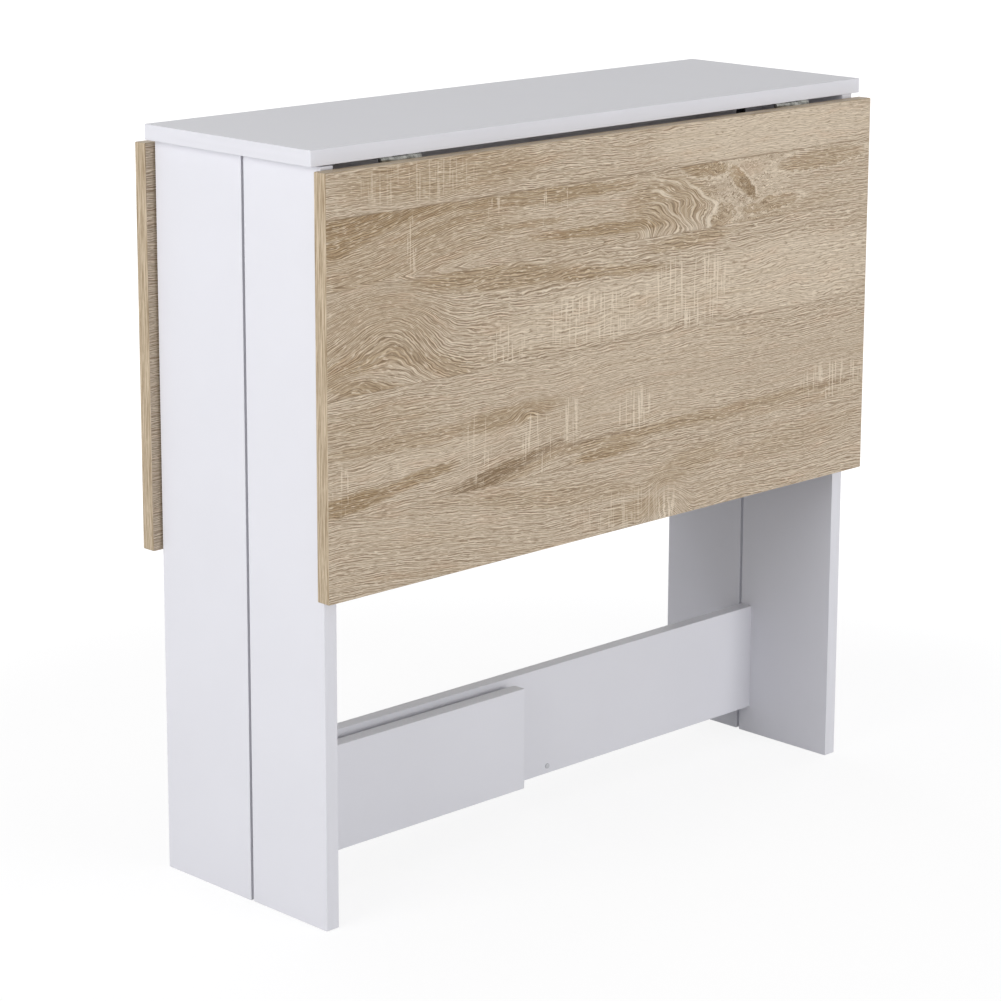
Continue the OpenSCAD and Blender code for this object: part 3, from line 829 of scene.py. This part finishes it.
# A gate's two rails: one strip goes above, round the free end (1 right, -1 left) and back below
def railPiece(gate, freeSide):
    runs = []
    for rail in (gate + "_lower_rail", gate + "_upper_rail"):
        low, high = (np.array(corner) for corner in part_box(rail))
        low -= edging["thickness"] * np.array([freeSide < 0, 0, 1])
        high += edging["thickness"] * np.array([freeSide > 0, 0, 1])
        middle, half = (low + high) / 2, (high - low) / 2
        points, outs = roundedCorners(half[0], half[2], edging["corner"])
        order = [3, 0] if freeSide > 0 else [1, 2]
        points, outs = points[order].reshape(-1, 2), outs[order].reshape(-1, 2)
        inner = np.array([-freeSide * half[0], 0])
        points = np.concatenate([points[:1] * [0, 1] + inner, points, points[-1:] * [0, 1] + inner])
        outs = np.concatenate([outs[:1], outs, outs[-1:]])
        path = np.tile(middle, (len(points), 1))
        path[:, [0, 2]] += points
        away = np.zeros_like(path)
        away[:, [0, 2]] = outs
        runs.append(carried(path, away, np.array([0, 1, 0]), bandSection(half[1]), False))
    bandPiece(gate + "_rail_edging", runs)


rings = {
    "top_edging": 2,
    "rear_left_panel_edging": 0,
    "front_right_panel_edging": 0,
    "front_gate_panel_edging": 0,
    "rear_gate_panel_edging": 0,
    "front_leaf_edging": 1,
    "rear_leaf_edging": 1,
}
for node, axis in rings.items():
    ringPiece(node, axis)
for node in ("lower_stretcher_edging", "upper_stretcher_edging"):
    stripPiece(node)
for gate, freeSide in (("front_gate", 1), ("rear_gate", -1)):
    railPiece(gate, freeSide)
print("edging made")


# Metal pieces: how wide the edges of each kind are softened, in millimetres
softening = {"plates": 0.3, "screws": 0.12, "pins": 0.25, "bolts": 0.15, "locks": 0.25}
softEdges = {"merge": 0.001, "flatAngle": 1, "sharpAngle": 40, "segments": 2}


# A merged copy of a CAD node, its edges bevelled
def softened(node, width):
    mesh = bpy.data.meshes.new(pieceName(node))
    work = bmesh.new()
    work.from_mesh(nodes[node].data)
    bmesh.ops.remove_doubles(work, verts=work.verts[:], dist=softEdges["merge"] * millimetre)
    bmesh.ops.dissolve_limit(work, angle_limit=math.radians(softEdges["flatAngle"]),
                             verts=work.verts[:], edges=work.edges[:])
    work.to_mesh(mesh)
    work.free()
    bevel = standIn(node, mesh).modifiers.new("softEdges", "BEVEL")
    bevel.width = width * millimetre
    bevel.segments = softEdges["segments"]
    bevel.limit_method = "ANGLE"
    bevel.angle_limit = math.radians(softEdges["sharpAngle"])
    bevel.harden_normals = True


for node in list(nodes):
    kind = node.split("_")[-1]
    if kind in softening:
        softened(node, softening[kind])
    elif kind != "edging":
        nodes[node].data.materials.clear()
        nodes[node].data.materials.append(finishes[slots[node]])
print("metal softened")


# Camera: fitted to the table's corners in the photograph, with its real sizes
view = {
    "place": (-2.2135, -2.2301, 1.1489),
    "yaw": 0.7752,      # radians from +Y towards +X
    "pitch": -0.2177,
    "roll": 0.0033,
    "lens": 114.75,
    "shift": -0.1204,
    "sensor": 36,
    "near": 0.05,
    "far": 100,
}


def addCamera():
    yaw, pitch, roll = view["yaw"], view["pitch"], view["roll"]
    ahead = Vector((math.sin(yaw) * math.cos(pitch), math.cos(yaw) * math.cos(pitch), math.sin(pitch)))
    level = Vector((math.cos(yaw), -math.sin(yaw), 0))
    right = level * math.cos(roll) + level.cross(ahead) * math.sin(roll)
    up = right.cross(ahead)
    turned = Matrix((right, up, -ahead)).transposed().to_4x4()
    data = bpy.data.cameras.new("viewCamera")
    data.sensor_width = view["sensor"]
    data.lens = view["lens"]
    data.shift_y = view["shift"]
    data.clip_start, data.clip_end = view["near"], view["far"]
    camera = bpy.data.objects.new("viewCamera", data)
    camera.matrix_world = Matrix.Translation(view["place"]) @ turned
    scene.collection.objects.link(camera)
    scene.camera = camera


# Studio: a pale floor that fades into the white surround, a soft lamp on the left and weaker ones round
# the rest
studio = {
    "surround": 0.36,        # light from the white surround
    "floorColour": screenColour(205, 205, 207),
    "floorRoughness": 0.9,
    "floorGlow": 1.2,        # white that the camera adds to the floor
    "floorShare": 0.7,       # its share near the table, where the floor keeps the shadow
    "fadeFrom": 0.6,
    "fadeTo": 1.6,
    "floorHalf": 15.0,
}
lamps = {
    "keyLamp": {"place": (-2.5, -0.2, 1.25), "aim": (0, 0, 0.4), "size": 1.9, "power": 38},
    "frontLamp": {"place": (0.6, -3.2, 0.9), "aim": (0, 0, 0.4), "size": 2.0, "power": 47},
    "rearLamp": {"place": (0.8, 3.0, 0.9), "aim": (0, 0, 0.4), "size": 2.0, "power": 30},
    "rightLamp": {"place": (3.0, 0.2, 0.9), "aim": (0, 0, 0.4), "size": 2.0, "power": 25},
}


# The world: white where it is seen, and this strong as light
def addSurround():
    world = bpy.data.worlds.new("whiteSurround")
    scene.world = world
    world.use_nodes = True
    surround = NodeTree(world.node_tree)
    background = surround.tree.nodes["Background"]
    background.inputs["Color"].default_value = (1, 1, 1, 1)
    strength = studio["surround"] + surround.directView() * (1 - studio["surround"])
    surround.feed(background.inputs["Strength"], strength)


# The floor: a plain surface mixed with white for the camera, more so away from the table
def addFloor():
    half = studio["floorHalf"]
    corners = [(-half, -half, 0), (half, -half, 0), (half, half, 0), (-half, half, 0)]
    mesh = bpy.data.meshes.new("floor")
    mesh.from_pydata(corners, [], [(0, 1, 2, 3)])
    floor = bpy.data.objects.new("floor", mesh)
    scene.collection.objects.link(floor)
    finish = Finish("paleFloor", Roughness=studio["floorRoughness"])
    finish.shader.inputs["Base Color"].default_value = studio["floorColour"]
    plain = Field(finish, finish.shader.outputs[0])
    glow = finish.add("ShaderNodeEmission", inputs={"Strength": studio["floorGlow"]})
    radius = finish.add("ShaderNodeVectorMath", {"operation": "LENGTH"}, {0: finish.place()}, output="Value")
    share = studio["floorShare"]
    share = share + risen(radius, studio["fadeFrom"], studio["fadeTo"], 1 - share)
    mixed = finish.add("ShaderNodeMixShader", inputs={0: finish.directView() * share, 1: plain, 2: glow})
    finish.feed(finish.tree.nodes["Material Output"].inputs["Surface"], mixed)
    mesh.materials.append(finish.material)


def addLamp(name, lamp):
    data = bpy.data.lights.new(name, "AREA")
    data.shape = "DISK"
    data.size = lamp["size"]
    data.energy = lamp["power"]
    light = bpy.data.objects.new(name, data)
    place = Vector(lamp["place"])
    light.location = place
    light.rotation_euler = (Vector(lamp["aim"]) - place).to_track_quat("-Z", "Y").to_euler()
    # Gloss mirrors the white surround alone: a mirrored lamp would bleach the top
    light.visible_glossy = False
    scene.collection.objects.link(light)


addCamera()
addSurround()
addFloor()
for name, lamp in lamps.items():
    addLamp(name, lamp)
scene.view_settings.view_transform = "Standard"
print("studio and camera set")
